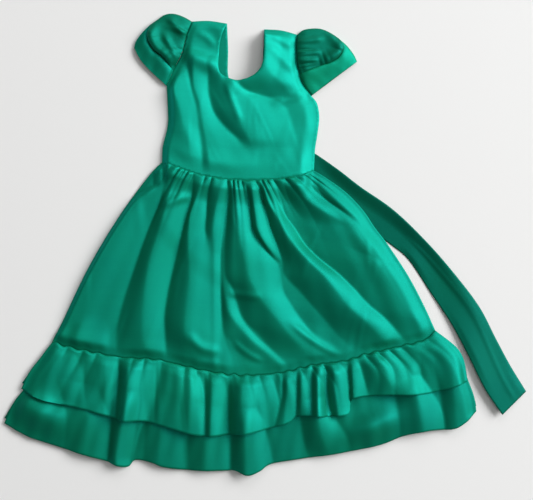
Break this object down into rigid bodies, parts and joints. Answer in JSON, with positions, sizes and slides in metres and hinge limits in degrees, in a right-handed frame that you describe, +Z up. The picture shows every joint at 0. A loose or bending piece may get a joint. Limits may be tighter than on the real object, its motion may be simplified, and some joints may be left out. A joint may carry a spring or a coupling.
{
  "type": "taffeta dress",
  "caption": "Child's taffeta party dress laid flat: fitted bodice with a deep U neck, puffed cap sleeves, gathered skirt, double hem ruffle and sash ties.",
  "frame": {"origin": "the point on the surface the dress lies on, z = 0, under the middle of its overall box", "axes": "+X to the side on which the sash tie trails, across the dress, which is its longest way; +Y from the hem towards the neck; +Z up, away from the surface"},
  "size_m": [0.99, 0.8742, 0.0377],
  "materials": {
    "bodice_front_taffeta": "emerald green taffeta with a soft satin sheen",
    "bodice_back_left_taffeta": "emerald green taffeta with a soft satin sheen",
    "bodice_back_right_taffeta": "emerald green taffeta with a soft satin sheen",
    "sleeve_left_taffeta": "emerald green taffeta with a soft satin sheen",
    "sleeve_right_taffeta": "emerald green taffeta with a soft satin sheen",
    "sleeve_band_left_taffeta": "emerald green taffeta with a soft satin sheen",
    "sleeve_band_right_taffeta": "emerald green taffeta with a soft satin sheen",
    "skirt_front_taffeta": "emerald green taffeta with a soft satin sheen",
    "skirt_back_taffeta": "emerald green taffeta with a soft satin sheen",
    "ruffle_upper_front_taffeta": "emerald green taffeta with a soft satin sheen",
    "ruffle_upper_back_taffeta": "emerald green taffeta with a soft satin sheen",
    "ruffle_lower_front_taffeta": "emerald green taffeta with a soft satin sheen",
    "ruffle_lower_back_taffeta": "emerald green taffeta with a soft satin sheen",
    "sash_right_taffeta": "emerald green taffeta with a soft satin sheen",
    "sash_left_taffeta": "emerald green taffeta with a soft satin sheen"
  },
  "bodies": {
    "root": {"bodice_front": "bodice_front_taffeta", "bodice_back_left": "bodice_back_left_taffeta", "bodice_back_right": "bodice_back_right_taffeta", "sleeve_left": "sleeve_left_taffeta", "sleeve_right": "sleeve_right_taffeta", "sleeve_band_left": "sleeve_band_left_taffeta", "sleeve_band_right": "sleeve_band_right_taffeta", "skirt_front": "skirt_front_taffeta", "skirt_back": "skirt_back_taffeta", "ruffle_upper_front": "ruffle_upper_front_taffeta", "ruffle_upper_back": "ruffle_upper_back_taffeta", "ruffle_lower_front": "ruffle_lower_front_taffeta", "ruffle_lower_back": "ruffle_lower_back_taffeta", "sash_right": "sash_right_taffeta", "sash_left": "sash_left_taffeta"}
  },
  "joints": []
}
